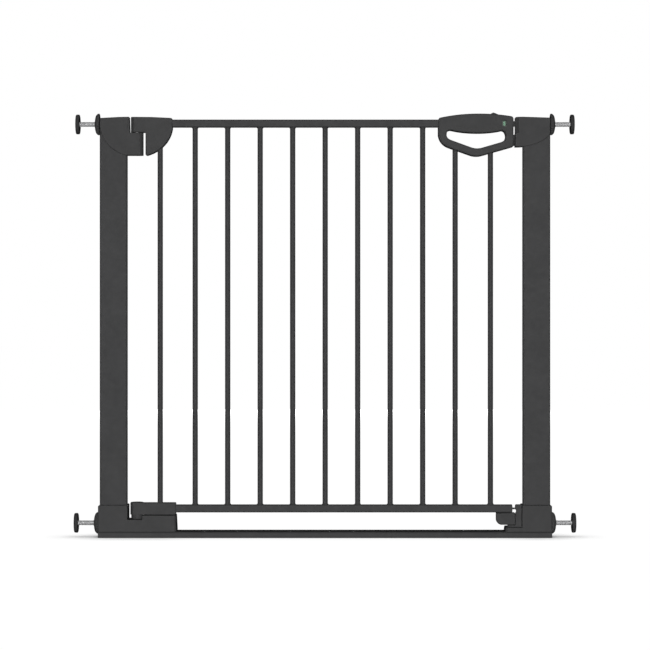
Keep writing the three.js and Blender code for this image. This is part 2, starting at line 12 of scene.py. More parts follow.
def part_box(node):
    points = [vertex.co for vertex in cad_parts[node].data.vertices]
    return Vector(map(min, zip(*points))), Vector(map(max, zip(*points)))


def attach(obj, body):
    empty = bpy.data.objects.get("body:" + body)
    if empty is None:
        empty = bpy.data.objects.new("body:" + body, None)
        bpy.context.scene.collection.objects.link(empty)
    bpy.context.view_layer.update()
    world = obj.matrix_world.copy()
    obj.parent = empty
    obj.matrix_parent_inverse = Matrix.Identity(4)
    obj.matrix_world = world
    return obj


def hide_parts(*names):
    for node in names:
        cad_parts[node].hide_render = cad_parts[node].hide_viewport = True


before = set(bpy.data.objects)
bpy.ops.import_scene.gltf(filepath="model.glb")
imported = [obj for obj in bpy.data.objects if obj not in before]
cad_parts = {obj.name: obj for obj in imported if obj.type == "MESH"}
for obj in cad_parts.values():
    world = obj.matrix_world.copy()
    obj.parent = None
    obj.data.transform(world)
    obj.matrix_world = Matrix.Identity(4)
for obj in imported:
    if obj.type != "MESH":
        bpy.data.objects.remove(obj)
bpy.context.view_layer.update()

MM = 0.001
SCENE = bpy.context.scene
NODES = sorted(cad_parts)


# ---------------------------------------------------------------- sizes taken from the frame

class Span:
    """The box of a CAD node, in millimetres."""

    def __init__(self, node):
        low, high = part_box(node)
        self.left, self.front, self.bottom = low * 1000
        self.right, self.back, self.top = high * 1000
        self.x = (self.left + self.right) / 2
        self.y = (self.front + self.back) / 2
        self.z = (self.bottom + self.top) / 2


GAP = 0.3            # joint line between pieces that touch
SEAM = 0.12          # half the joint line between a front and a rear shell
PIN = Span("upper_hinge_pin")
HINGE_X = PIN.x
PIN_RADIUS = (PIN.right - PIN.left) / 2
PIN_BORE = PIN_RADIUS + 0.35
TOP_RAIL = Span("top_rail")
BOTTOM_RAIL = Span("bottom_rail")
POSTS = {"left_post": Span("left_post"), "right_post": Span("right_post")}
BARS = [Span(f"bar_{number:02d}") for number in range(1, 12)]
BAR_RADIUS = (BARS[0].right - BARS[0].left) / 2
CORNERS = ("top_left", "top_right", "bottom_left", "bottom_right")
SPINDLE_Z = {"top": Span("top_left_spindle").z, "bottom": Span("bottom_left_spindle").z}

TUBE_WALL = 1.4
RELEASE_TRAVEL = 10.0    # of the thumb slider, the lock bolt and the flag
SPINDLE_BORE = 4.4       # radius of the bores that the spindles pass through
SPINDLE_BORE_END = 342   # |X| where those bores stop


# ---------------------------------------------------------------- outlines

def rounded(corners, steps=8):
    """The outline through (u, v, radius) corners, each turned with a true arc."""
    points = []
    for index, (u, v, radius) in enumerate(corners):
        corner = Vector((u, v))
        before = (Vector(corners[index - 1][:2]) - corner).normalized()
        after = (Vector(corners[(index + 1) % len(corners)][:2]) - corner).normalized()
        if radius == 0:
            points.append(corner)
            continue
        half = before.angle(after) / 2
        middle = corner + (before + after).normalized() * (radius / math.sin(half))
        start = corner + before * (radius / math.tan(half)) - middle
        end = corner + after * (radius / math.tan(half)) - middle
        sweep = start.angle_signed(end)
        for step in range(steps + 1):
            turn = -sweep * step / steps
            points.append(middle + Vector((
                start.x * math.cos(turn) - start.y * math.sin(turn),
                start.x * math.sin(turn) + start.y * math.cos(turn),
            )))
    return points


def rectangle(left, right, low, high, radius=0.0, steps=8):
    corners = [(left, low, radius), (right, low, radius), (right, high, radius), (left, high, radius)]
    return rounded(corners, steps)


def arc(x, y, radius, start, end, steps):
    """Points on a circle, from one angle to another, in degrees."""
    points = []
    for step in range(steps + 1):
        turn = math.radians(start + (end - start) * step / steps)
        points.append(Vector((x + radius * math.cos(turn), y + radius * math.sin(turn))))
    return points


def circle(x, y, radius, steps=48):
    return arc(x, y, radius, 0, 360, steps)[:-1]


class Pen:
    """Draws an outline clockwise with lines and curves, with lengths measured from a corner."""

    def __init__(self, left, top, start):
        self.corner = Vector((left, top))
        self.points = [self.corner + Vector(start)]

    def line(self, *end):
        self.points.append(self.corner + Vector(end))

    def curve(self, *controls, steps=12):
        """A curve of second or third order that ends on the last of its control points."""
        net = [self.points[-1]] + [self.corner + Vector(control) for control in controls]
        for step in range(1, steps + 1):
            row = net
            while len(row) > 1:
                row = [a.lerp(b, step / steps) for a, b in zip(row, row[1:])]
            self.points.append(row[0])

    def outline(self):
        """The points in counter-clockwise order."""
        return self.points[::-1]


class Oval:
    """The lower half of an ellipse, which may be cut flat at a floor."""

    def __init__(self, x, z, half_width, half_height, floor=0.0):
        self.x = x
        self.z = z
        self.half_width = half_width
        self.half_height = half_height
        self.floor = floor

    def between(self, left, right, steps=56):
        share = [(edge - self.x) / self.half_width for edge in (left, right)]
        start, end = (-math.acos(min(1.0, max(-1.0, value))) for value in share)
        points = []
        for step in range(steps + 1):
            turn = start + (end - start) * step / steps
            x = self.x + self.half_width * math.cos(turn)
            z = self.z + self.half_height * math.sin(turn)
            points.append(Vector((x, max(z, self.floor))))
        return points


def inset(points, distance):
    """A counter-clockwise outline moved inwards."""
    moved = []
    for index, point in enumerate(points):
        before = (point - points[index - 1]).normalized()
        after = (points[(index + 1) % len(points)] - point).normalized()
        left_before = Vector((-before.y, before.x))
        left_after = Vector((-after.y, after.x))
        middle = (left_before + left_after).normalized()
        moved.append(point + middle * (distance / max(0.5, middle.dot(left_before))))
    return moved


# ---------------------------------------------------------------- meshes

# Where a point (u, v) of an outline, at the distance w along its axis, is in the frame.
PLACE = {
    "x": lambda u, v, w: (w, u, v),
    "y": lambda u, v, w: (u, w, v),
    "z": lambda u, v, w: (u, v, w),
}


def make_object(name, bm):
    bmesh.ops.recalc_face_normals(bm, faces=bm.faces)
    mesh = bpy.data.meshes.new(name)
    bm.to_mesh(mesh)
    bm.free()
    obj = bpy.data.objects.new(name, mesh)
    SCENE.collection.objects.link(obj)
    return obj


def add_loop(bm, points, axis, w):
    return [bm.verts.new([c * MM for c in PLACE[axis](p[0], p[1], w)]) for p in points]


def bridge(bm, first, second):
    for index in range(len(first)):
        after = (index + 1) % len(first)
        bm.faces.new((first[index], first[after], second[after], second[index]))


def cap(bm, loops):
    if len(loops) == 1:
        bm.faces.new(loops[0])
        return
    edges = [bm.edges.get((ring[i - 1], ring[i])) for ring in loops for i in range(len(ring))]
    bmesh.ops.triangle_fill(bm, use_beauty=True, use_dissolve=False, edges=edges)


def rim_stations(low, high, low_round, high_round, steps):
    """(distance along the axis, inset) of each ring of a slab with rounded rims."""
    stations = []
    for step in range(steps + 1):
        turn = math.pi / 2 * step / steps
        if low_round or step == steps:
            stations.append((low + low_round * (1 - math.cos(turn)), low_round * (1 - math.sin(turn))))
    for step in range(steps, -1, -1):
        turn = math.pi / 2 * step / steps
        if high_round or step == steps:
            stations.append((high - high_round * (1 - math.cos(turn)), high_round * (1 - math.sin(turn))))
    return stations


def slab(name, outline, axis, low, high, holes=(), low_round=0.0, high_round=0.0, steps=5):
    """A slab along an axis, with holes through it and rounded rims."""
    bm = bmesh.new()
    rings = []
    for w, shift in rim_stations(low, high, low_round, high_round, steps):
        ring = [add_loop(bm, inset(outline, shift), axis, w)]
        ring += [add_loop(bm, inset(hole, -shift), axis, w) for hole in holes]
        rings.append(ring)
    for before, after in zip(rings, rings[1:]):
        for first, second in zip(before, after):
            bridge(bm, first, second)
    cap(bm, rings[0])
    cap(bm, rings[-1])
    return make_object(name, bm)


def tube(name, outline, wall, axis, low, high):
    """An open-ended tube."""
    bm = bmesh.new()
    outer = [add_loop(bm, outline, axis, w) for w in (low, high)]
    inner = [add_loop(bm, inset(outline, wall), axis, w) for w in (low, high)]
    bridge(bm, *outer)
    bridge(bm, *inner)
    bridge(bm, outer[0], inner[0])
    bridge(bm, outer[1], inner[1])
    return make_object(name, bm)


def turned(name, profile, steps, axis, centre, radius_at=None):
    """Revolves (radius, distance) points about an axis. radius_at bends a radius by its angle."""
    bm = bmesh.new()
    rings = []
    for index, (radius, w) in enumerate(profile):
        if radius == 0:
            rings.append([bm.verts.new([c * MM for c in PLACE[axis](*centre, w)])])
            continue
        ring = []
        for step in range(steps):
            turn = 2 * math.pi * step / steps
            reach = radius_at(index, radius, turn) if radius_at else radius
            u = centre[0] + reach * math.cos(turn)
            v = centre[1] + reach * math.sin(turn)
            ring.append(bm.verts.new([c * MM for c in PLACE[axis](u, v, w)]))
        rings.append(ring)
    for before, after in zip(rings, rings[1:]):
        for step in range(steps):
            following = (step + 1) % steps
            if len(before) == 1:
                bm.faces.new((before[0], after[following], after[step]))
            elif len(after) == 1:
                bm.faces.new((before[step], before[following], after[0]))
            else:
                bm.faces.new((before[step], before[following], after[following], after[step]))
    return make_object(name, bm)


def apply_modifiers(obj):
    graph = bpy.context.evaluated_depsgraph_get()
    mesh = bpy.data.meshes.new_from_object(obj.evaluated_get(graph))
    before = obj.data
    obj.modifiers.clear()
    obj.data = mesh
    bpy.data.meshes.remove(before)
    return obj


def carve(obj, *tools, operation="DIFFERENCE"):
    for tool in tools:
        modifier = obj.modifiers.new("carve", "BOOLEAN")
        modifier.solver = "EXACT"
        modifier.operation = operation
        modifier.object = tool
        apply_modifiers(obj)
        bpy.data.objects.remove(tool, do_unlink=True)
    return obj


def soften(obj, width, segments=2, angle=40):
    """Breaks the sharp edges of a piece."""
    bevel = obj.modifiers.new("edges", "BEVEL")
    bevel.width = width * MM
    bevel.segments = segments
    bevel.limit_method = "ANGLE"
    bevel.angle_limit = math.radians(angle)
    bevel.use_clamp_overlap = True
    return apply_modifiers(obj)


def join(name, objects):
    """Several meshes as one piece."""
    bm = bmesh.new()
    for obj in objects:
        bm.from_mesh(obj.data)
        bpy.data.objects.remove(obj, do_unlink=True)
    mesh = bpy.data.meshes.new(name)
    bm.to_mesh(mesh)
    bm.free()
    joined = bpy.data.objects.new(name, mesh)
    SCENE.collection.objects.link(joined)
    return joined


def block_tool(x, y, z, radius=0.0):
    return slab("tool", rectangle(x[0], x[1], z[0], z[1], radius, 4), "y", y[0], y[1])


def rod_tool(axis, radius, low, high, u, v, steps=40):
    return slab("tool", circle(u, v, radius, steps), axis, low, high)


def place(obj, body, slot, material, *stands_for, sharp=38):
    """Gives a finished piece its shading, its finish and the body that it moves with."""
    for polygon in obj.data.polygons:
        polygon.use_smooth = True
    obj.data.set_sharp_from_angle(angle=math.radians(sharp))
    normals = obj.modifiers.new("normals", "WEIGHTED_NORMAL")
    normals.keep_sharp = True
    obj.data.materials.clear()
    obj.data.materials.append(material)
    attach(obj, body)
    if stands_for:
        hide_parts(*stands_for)
    return obj


# ---------------------------------------------------------------- materials

class Finish:
    """A Principled material whose colour, roughness and bump vary over the surface."""

    def __init__(self, name):
        self.material = bpy.data.materials.new(name)
        self.material.use_nodes = True
        self.tree = self.material.node_tree
        self.shader = self.tree.nodes["Principled BSDF"]
        self.places = self.tree.nodes.new("ShaderNodeTexCoord").outputs["Object"]

    def noise(self, scale, detail=2.0, stretch=(1, 1, 1)):
        """Noise whose features are about 1/scale metres long."""
        mapping = self.tree.nodes.new("ShaderNodeMapping")
        mapping.inputs["Scale"].default_value = stretch
        self.tree.links.new(self.places, mapping.inputs["Vector"])
        node = self.tree.nodes.new("ShaderNodeTexNoise")
        node.inputs["Scale"].default_value = scale
        node.inputs["Detail"].default_value = detail
        self.tree.links.new(mapping.outputs["Vector"], node.inputs["Vector"])
        return node.outputs["Fac"]

    def grain(self, scale):
        node = self.tree.nodes.new("ShaderNodeTexVoronoi")
        node.inputs["Scale"].default_value = scale
        self.tree.links.new(self.places, node.inputs["Vector"])
        return node.outputs["Distance"]

    def ramp(self, value, *stops):
        node = self.tree.nodes.new("ShaderNodeValToRGB")
        self.tree.links.new(value, node.inputs["Fac"])
        elements = node.color_ramp.elements
        while len(elements) < len(stops):
            elements.new(0.5)
        for element, (position, color) in zip(elements, stops):
            element.position = position
            element.color = (*color, 1)
        return node.outputs["Color"]

    def spread(self, value, low, high):
        node = self.tree.nodes.new("ShaderNodeMapRange")
        node.inputs["From Min"].default_value = 0.3
        node.inputs["From Max"].default_value = 0.7
        node.inputs["To Min"].default_value = low
        node.inputs["To Max"].default_value = high
        self.tree.links.new(value, node.inputs["Value"])
        return node.outputs["Result"]

    def link(self, value, socket):
        self.tree.links.new(value, self.shader.inputs[socket])

    def bump(self, height, strength, depth):
        node = self.tree.nodes.new("ShaderNodeBump")
        node.inputs["Strength"].default_value = strength
        node.inputs["Distance"].default_value = depth * MM
        self.tree.links.new(height, node.inputs["Height"])
        before = self.shader.inputs["Normal"].links
        if before:
            self.tree.links.new(before[0].from_socket, node.inputs["Normal"])
        self.link(node.outputs["Normal"], "Normal")

    def set(self, **values):
        for name, value in values.items():
            self.shader.inputs[name.replace("_", " ")].default_value = value


def shade(color, factor):
    return tuple(channel * factor for channel in color)


def powder_coat():
    finish = Finish("powder_coat")
    base = (0.074, 0.074, 0.0755)
    finish.set(Specular_IOR_Level=0.1)
    patches = finish.noise(35, 3)
    finish.link(finish.ramp(patches, (0.3, shade(base, 0.93)), (0.7, shade(base, 1.07))), "Base Color")
    finish.link(finish.spread(finish.noise(110, 2), 0.5, 0.6), "Roughness")
    finish.bump(finish.noise(650, 2), 0.12, 0.25)
    finish.bump(finish.noise(160, 1), 0.05, 0.4)
    return finish.material


def moulded_plastic():
    finish = Finish("moulded_plastic")
    base = (0.078, 0.078, 0.079)
    finish.set(Specular_IOR_Level=0.1)
    patches = finish.noise(60, 4)
    finish.link(finish.ramp(patches, (0.3, shade(base, 0.94)), (0.7, shade(base, 1.06))), "Base Color")
    finish.link(finish.spread(finish.noise(240, 2), 0.52, 0.66), "Roughness")
    finish.bump(finish.grain(1500), 0.22, 0.12)
    return finish.material


def zinc_plate():
    finish = Finish("zinc_plate")
    clouds = finish.noise(220, 3)
    light = (0.93, 0.935, 0.94)
    dull = (0.78, 0.785, 0.795)
    finish.link(finish.ramp(clouds, (0.3, dull), (0.65, light)), "Base Color")
    finish.link(finish.spread(finish.noise(500, 2, (0.2, 1, 1)), 0.32, 0.46), "Roughness")
    finish.set(Metallic=0.4)
    finish.bump(finish.noise(2500, 2), 0.08, 0.03)
    return finish.material


def rubber():
    finish = Finish("wall_pad_rubber")
    base = (0.055, 0.055, 0.056)
    finish.set(Specular_IOR_Level=0.1)
    dust = finish.noise(130, 4)
    finish.link(finish.ramp(dust, (0.35, base), (0.75, shade(base, 1.3))), "Base Color")
    finish.link(finish.spread(finish.noise(300, 2), 0.74, 0.9), "Roughness")
    finish.bump(finish.noise(1600, 3), 0.25, 0.12)
    return finish.material


def flag_paint(name, color):
    finish = Finish(name)
    finish.link(finish.ramp(finish.noise(300, 2), (0.3, shade(color, 0.92)), (0.7, color)), "Base Color")
    finish.link(finish.spread(finish.noise(500, 2), 0.35, 0.5), "Roughness")
    return finish.material


def clear_window():
    finish = Finish("clear_window")
    tint = (0.03, 0.11, 0.05)
    finish.link(finish.ramp(finish.noise(90, 2), (0.3, shade(tint, 0.8)), (0.7, tint)), "Base Color")
    finish.link(finish.spread(finish.noise(700, 2), 0.1, 0.16), "Roughness")
    finish.set(Alpha=0.08, Specular_IOR_Level=0.15)
    return finish.material


STEEL = powder_coat()
PLASTIC = moulded_plastic()
ZINC = zinc_plate()
RUBBER = rubber()
GREEN = flag_paint("flag_green", (0.21, 0.56, 0.33))
RED = flag_paint("flag_red", (0.62, 0.06, 0.05))
# Painted shade: darker copies of the flag green and red, for the shaded plate around the lit bar
PAINTED_SHADE_GREEN = flag_paint("flag_painted_shade_green", (0.006, 0.055, 0.015))
PAINTED_SHADE_RED = flag_paint("flag_painted_shade_red", (0.09, 0.006, 0.005))
CLEAR = clear_window()


# ---------------------------------------------------------------- fixed frame

def build_floor_bar():
    bar = Span("floor_bar")
    section = rounded([
        (bar.front, bar.bottom, 2.4),
        (bar.back, bar.bottom, 2.4),
        (bar.back, bar.top, 3.6),
        (bar.front, bar.top, 3.6),
    ])
    piece = slab("floor_bar_tube", section, "x", bar.left, bar.right, low_round=0.9, high_round=0.9)
    place(piece, "frame", "painted_steel", STEEL, "floor_bar")


def build_posts():
    for name, post in POSTS.items():
        section = rectangle(post.left, post.right, post.front, post.back, 3.2, 10)
        piece = tube(f"{name}_tube", section, TUBE_WALL, "z", post.bottom, post.top)
        place(piece, "frame", "painted_steel", STEEL, name)


def post_tool(post, low, high, wall_side_open):
    outer = 30 if wall_side_open else GAP
    left = post.left - (outer if post.x < 0 else GAP)
    right = post.right + (outer if post.x > 0 else GAP)
    section = rectangle(left, right, post.front - GAP, post.back + GAP)
    return slab("tool", section, "z", low, high)


def knuckle_tool(radius, towards):
    """The space within a radius of the hinge axis on one side, and without limit on the other."""
    reach = 500
    if towards > 0:
        outline = [Vector((HINGE_X + reach, -40)), Vector((HINGE_X + reach, 40))]
        outline += [Vector((HINGE_X, 40))] + arc(HINGE_X, 0, radius, 90, 270, 48)
        outline += [Vector((HINGE_X, -40))]
    else:
        outline = [Vector((HINGE_X - reach, 40)), Vector((HINGE_X - reach, -40))]
        outline += [Vector((HINGE_X, -40))] + arc(HINGE_X, 0, radius, -90, 90, 48)
        outline += [Vector((HINGE_X, 40))]
    return slab("tool", outline, "z", 0, 800)


def foot_plan(foot, left_radius, right_radius):
    plan = rounded([
        (foot.left, foot.front, left_radius),
        (foot.right, foot.front, right_radius),
        (foot.right, foot.back, right_radius),
        (foot.left, foot.back, left_radius),
    ], 10)
    return slab("tool", plan, "z", 0, 100)


def build_hinge_foot():
    foot = Span("hinge_foot")
    block = Span("lower_hinge_block")
    post = POSTS["left_post"]
    notch_left = block.left - 3.3
    notch_right = HINGE_X + 10.7
    notch_floor = block.bottom - 0.4
    shoulder = block.bottom + 6.7
    outline = rounded([
        (foot.left, foot.bottom, 0.8),
        (foot.right, foot.bottom, 0.6),
        (foot.right - 1.6, shoulder, 1.2),
        (notch_right, shoulder, 0.5),
        (notch_right, notch_floor, 0.6),
        (notch_left, notch_floor, 0.6),
        (notch_left, foot.top, 1.6),
        (foot.left, foot.top, 2.6),
    ], 5)
    piece = slab("hinge_foot_block", outline, "y", foot.front, foot.back)
    carve(piece, foot_plan(foot, 2.5, 6), operation="INTERSECT")
    soften(piece, 0.9, 4, 35)
    carve(
        piece,
        post_tool(post, post.bottom - GAP, foot.top + 20, False),
        rod_tool("z", PIN_BORE, 14, notch_floor + 2, HINGE_X, 0),
        rod_tool("x", SPINDLE_BORE, foot.left - 5, -SPINDLE_BORE_END, 0, SPINDLE_Z["bottom"]),
    )
    place(piece, "frame", "moulded_plastic", PLASTIC, "hinge_foot", sharp=32)


def build_latch_foot():
    foot = Span("latch_foot")
    post = POSTS["right_post"]
    shoe = Span("latch_shoe")
    web_x = Span("rail_end_plug").right + GAP
    ledge_top = foot.bottom + 6.9
    inner = post.left - 2
    outline = rounded([
        (foot.left, foot.bottom, 0.6),
        (foot.right, foot.bottom, 0.8),
        (foot.right, foot.top, 2.6),
        (inner, foot.top, 1.4),
        (inner, ledge_top, 0.8),
        (foot.left + 1.4, ledge_top, 1.2),
    ], 5)
    piece = slab("latch_foot_block", outline, "y", foot.front, foot.back)
    carve(piece, foot_plan(foot, 6, 2.5), operation="INTERSECT")
    soften(piece, 0.9, 4, 35)
    web_outline = rounded([
        (web_x, foot.top, 2.2),
        (web_x, foot.top - 7.6, 2.5),
        (web_x + 2.4, foot.top - 11.6, 2.5),
        (web_x, foot.top - 15.6, 2.5),
        (web_x, shoe.bottom - 0.5, 1.0),
        (foot.left + 6, shoe.bottom - 0.5, 1.5),
        (foot.left + 3, ledge_top - 1, 0),
        (post.left + 5, ledge_top - 1, 0),
        (post.left + 5, foot.top, 0),
    ], 6)
    web = slab("tool", web_outline, "y", -6, 6, low_round=1.2, high_round=1.2)
    carve(piece, web, operation="UNION")
    carve(
        piece,
        post_tool(post, post.bottom - GAP, foot.top + 20, False),
        rod_tool("x", SPINDLE_BORE, SPINDLE_BORE_END, foot.right + 5, 0, SPINDLE_Z["bottom"]),
    )
    place(piece, "frame", "moulded_plastic", PLASTIC, "latch_foot", sharp=32)


# ---------------------------------------------------------------- shells

def shell_pair(name, body, outline, half_depth, round_front, tools, holes=()):
    """The front and rear shell of a casing. tools(side) gives what is cut out of one of them."""
    for side, part in ((-1, "front"), (1, "rear")):
        low, high = sorted((side * SEAM, side * half_depth))
        rims = {"low_round": round_front, "high_round": 0.35}
        if side > 0:
            rims = {"low_round": 0.35, "high_round": round_front}
        piece = slab(f"{name}_{part}_shell", outline, "y", low, high, holes, **rims)
        tools(piece, side)
        place(piece, body, "moulded_plastic", PLASTIC, f"{name}_{part}", sharp=32)


HINGE_OVAL = Oval(-324.5, 709.8, 62.9, 56.3, 656.2)   # underside of both upper hinge pieces
LATCH_OVAL = Oval(329.2, 704.2, 61.8, 33.6)           # underside of the latch housing


def screw_tools(name):
    tools = []
    for node in NODES:
        if node.startswith(f"{name}_screw"):
            screw = Span(node)
            head = (screw.right - screw.left) / 2
            tools.append(rod_tool("y", head + GAP, screw.back - 2, screw.back + 20, screw.x, screw.z, 32))
    return tools


def build_hinge_housing():
    housing = Span("hinge_housing_front")
    post = POSTS["left_post"]
    arm = Span("hinge_arm_front")
    reach = 11.0
    tongue_right = HINGE_X + reach + 2
    tongue_top = arm.top - 27.2
    wall = HINGE_X - 12
    outline = HINGE_OVAL.between(housing.left, tongue_right)
    outline += rounded([
        (tongue_right, tongue_top, 0),
        (wall, tongue_top, 0.8),
        (wall - 0.9, housing.top, 1.6),
        (-355, housing.top - 0.4, 30),
        (housing.left, housing.top - 2.2, 2.2),
        (housing.left, HINGE_OVAL.z + 4, 0),
    ])[:-1]

    def tools(piece, side):
        carve(piece, knuckle_tool(reach, -1), operation="INTERSECT")
        soften(piece, 0.5, 2, 50)
        carve(
            piece,
            post_tool(post, 600, post.top + GAP, True),
            rod_tool("z", PIN_BORE, 659.5, 740, HINGE_X, 0),
            rod_tool("x", SPINDLE_BORE, housing.left - 20, -SPINDLE_BORE_END, 0, SPINDLE_Z["top"]),
            *(screw_tools("hinge_housing") if side > 0 else []),
        )

    shell_pair("hinge_housing", "frame", outline, 10, 2.0, tools)


def build_hinge_arm():
    arm = Span("hinge_arm_front")
    reach = 10.8
    left = HINGE_X - reach - 2
    lower_left = HINGE_X + 14.8
    underside = arm.top - 26.7
    floor = HINGE_OVAL.floor
    outline = HINGE_OVAL.between(lower_left + 3.4, arm.right)
    outline += rounded([
        (arm.right, arm.top - 18, 0),
        (arm.right, arm.top - 2, 3.4),
        (-298, arm.top - 0.3, 40),
        (left, arm.top, 0),
        (left, underside, 0),
        (lower_left, underside, 1.2),
        (lower_left, floor, 2.0),
        (lower_left + 3.4, floor, 0),
    ])[1:-1]

    def tools(piece, side):
        carve(piece, knuckle_tool(reach, 1), operation="INTERSECT")
        soften(piece, 0.5, 2, 50)
        carve(
            piece,
            rod_tool("z", PIN_BORE, 680, 716, HINGE_X, 0),
            slab("tool", rail_section(TOP_RAIL, GAP), "x", TOP_RAIL.left - GAP, arm.right + 20),
            rod_tool("z", BAR_RADIUS + GAP, 640, TOP_RAIL.bottom + 1, BARS[0].x, 0),
            *(screw_tools("hinge_arm") if side > 0 else []),
        )

    shell_pair("hinge_arm", "leaf", outline, 10, 2.0, tools)


def build_latch_housing():
    housing = Span("latch_housing_front")
    post = POSTS["right_post"]
    outline = LATCH_OVAL.between(housing.left, housing.right)
    outline += rounded([
        (housing.right, housing.top - 20, 0),
        (housing.right, housing.top - 1.6, 2.4),
        (340, housing.top, 60),
        (housing.left, housing.top - 0.4, 2.6),
        (housing.left, housing.top - 40, 0),
    ])[1:-1]
    nose = housing.left

    def tools(piece, side):
        wedge = [Vector((nose - 1, side * 3.5)), Vector((nose + 6.5, side * 10)),
                 Vector((nose + 6.5, side * 14)), Vector((nose - 1, side * 14))]
        carve(piece, slab("tool", wedge, "z", 693.6, 760))
        soften(piece, 0.5, 2, 40)
        carve(
            piece,
            post_tool(post, 600, post.top + GAP, True),
            rod_tool("x", SPINDLE_BORE, SPINDLE_BORE_END, housing.right + 20, 0, SPINDLE_Z["top"]),
            *(screw_tools("latch_housing") if side > 0 else []),
        )

    shell_pair("latch_housing", "frame", outline, 10, 2.0, tools)


# ---------------------------------------------------------------- leaf

def rail_section(rail, margin=0.0):
    return rectangle(rail.front - margin, rail.back + margin, rail.bottom - margin,
                     rail.top + margin, 2.4, 8)


def build_rails():
    for name, rail in (("top_rail", TOP_RAIL), ("bottom_rail", BOTTOM_RAIL)):
        piece = tube(f"{name}_tube", rail_section(rail), TUBE_WALL, "x", rail.left, rail.right)
        place(piece, "leaf", "painted_steel", STEEL, name)


def build_bars():
    """Each bar with the weld bead that holds it to a rail at either end."""
    for number, bar in enumerate(BARS, 1):
        radius = BAR_RADIUS
        top_welded = abs(bar.top - TOP_RAIL.bottom) < 1
        low = BOTTOM_RAIL.top - 0.2
        high = TOP_RAIL.bottom + 0.2 if top_welded else bar.top
        profile = [(0, low), (radius + 1.5, low), (radius + 1.35, low + 0.6), (radius + 0.8, low + 1.3),
                   (radius + 0.2, low + 1.9), (radius, low + 2.3)]
        bead_rows = {1, 2, 3, 4}
        if top_welded:
            start = len(profile) + 1
            profile += [(radius, high - 2.3), (radius + 0.2, high - 1.9), (radius + 0.8, high - 1.3),
                        (radius + 1.35, high - 0.6), (radius + 1.5, high), (0, high)]
            bead_rows |= {start, start + 1, start + 2, start + 3}
        else:
            profile += [(radius, high), (0, high)]

        def lumpy(index, reach, turn, number=number, bead_rows=bead_rows):
            if index not in bead_rows:
                return reach
            spot = Vector((math.cos(turn) * 1.6, math.sin(turn) * 1.6, number * 3.7 + (index > 5)))
            return reach + 0.28 * noise.noise(spot)

        piece = turned(f"bar_{number:02d}_tube", profile, 40, "z", (bar.x, bar.y), lumpy)
        place(piece, "leaf", "painted_steel", STEEL, f"bar_{number:02d}")


def build_lower_hinge_block():
    block = Span("lower_hinge_block")
    reach = 11.8
    low = block.bottom + 7.1
    arm_top = block.top - 1.1
    outline = rounded([
        (HINGE_X, low, 0),
        (block.right, low, 1.6),
        (block.right, arm_top, 1.6),
        (HINGE_X, arm_top, 0),
    ])
    piece = slab("lower_hinge_block_moulding", outline, "y", block.front, block.back,
                 low_round=1.4, high_round=1.4)
    knuckle = slab("tool", circle(HINGE_X, 0, reach, 72), "z", low, block.top,
                   low_round=0.8, high_round=2.4)
    sides = block_tool((HINGE_X - 20, HINGE_X + 20), (block.front, block.back), (low - 5, block.top + 5))
    carve(knuckle, sides, operation="INTERSECT")
    leg = slab("tool", circle(HINGE_X, 0, 10.3, 72), "z", block.bottom, low + 4, low_round=0.6)
    carve(piece, knuckle, leg, operation="UNION")
    carve(
        piece,
        slab("tool", rail_section(BOTTOM_RAIL, GAP), "x", BOTTOM_RAIL.left - GAP, block.right + 20),
        rod_tool("z", BAR_RADIUS + GAP, BOTTOM_RAIL.z, 70, BARS[0].x, 0),
        rod_tool("z", PIN_BORE, 30, 56, HINGE_X, 0),
    )
    place(piece, "leaf", "moulded_plastic", PLASTIC, "lower_hinge_block", sharp=32)


def build_latch_shoe():
    shoe = Span("latch_shoe")
    outline = rounded([
        (shoe.left, shoe.bottom, 9.5),
        (shoe.right, shoe.bottom, 1.6),
        (shoe.right, shoe.top, 1.2),
        (shoe.left, shoe.top, 0.6),
    ], 12)
    piece = slab("latch_shoe_moulding", outline, "y", shoe.front, shoe.back,
                 low_round=1.2, high_round=1.2)
    groove = shoe.top - 5.6
    for side in (-1, 1):
        depth = sorted((side * (shoe.back - 0.7), side * (shoe.back + 4)))
        carve(piece, block_tool((shoe.left - 5, shoe.right + 5), depth, (groove - 0.5, groove + 0.5)))
    place(piece, "leaf", "moulded_plastic", PLASTIC, "latch_shoe", sharp=32)


def build_rail_end_plug():
    plug = Span("rail_end_plug")
    rail = BOTTOM_RAIL
    section = rectangle(rail.front + 1.6, rail.back - 1.6, rail.bottom + 1.6, rail.top - 1.6, 1.2, 6)
    body = slab("plug", section, "x", plug.left, rail.right + 0.5, high_round=0.5)
    pin = turned("pin", [(0, rail.right - 3), (1.6, rail.right - 3), (1.6, plug.right - 0.5),
                         (1.1, plug.right), (0, plug.right)], 32, "x", (0, rail.z))
    carve(body, pin, operation="UNION")
    body.name = "rail_end_plug_moulding"
    place(body, "leaf", "moulded_plastic", PLASTIC, "rail_end_plug")


def build_latch_buffer():
    buffer = Span("latch_buffer")
    section = rectangle(buffer.left, buffer.right, buffer.bottom, buffer.top, 0.9, 6)
    piece = slab("latch_buffer_pad", section, "y", buffer.front, buffer.back,
                 low_round=0.6, high_round=0.6)
    place(piece, "leaf", "rubber", RUBBER, "latch_buffer")


# ---------------------------------------------------------------- handle and release

def handle_outline(handle):
    right = handle.right - handle.left
    pen = Pen(handle.left, handle.top, (0, -35.9))
    pen.line(0, -13.9)
    pen.curve((0, -7.7), (3.5, -6.9), steps=8)
    pen.curve((25.5, -2.3), (45.5, 0), (69.5, 0), steps=20)
    pen.curve((87.5, 0), (106.5, -1.2), (right - 4.5, -4.3), steps=20)
    pen.curve((right, -5.1), (right, -9.3), steps=8)
    pen.line(right, -54.3)
    pen.curve((right, -56.7), (right - 2.6, -57.4), steps=6)
    pen.line(75.5, -72)
    pen.curve((64.7, -75.1), (53.9, -71.2))
    pen.line(18.5, -58.7)
    pen.curve((2.5, -53), (0, -36.9), steps=16)
    return pen.outline()


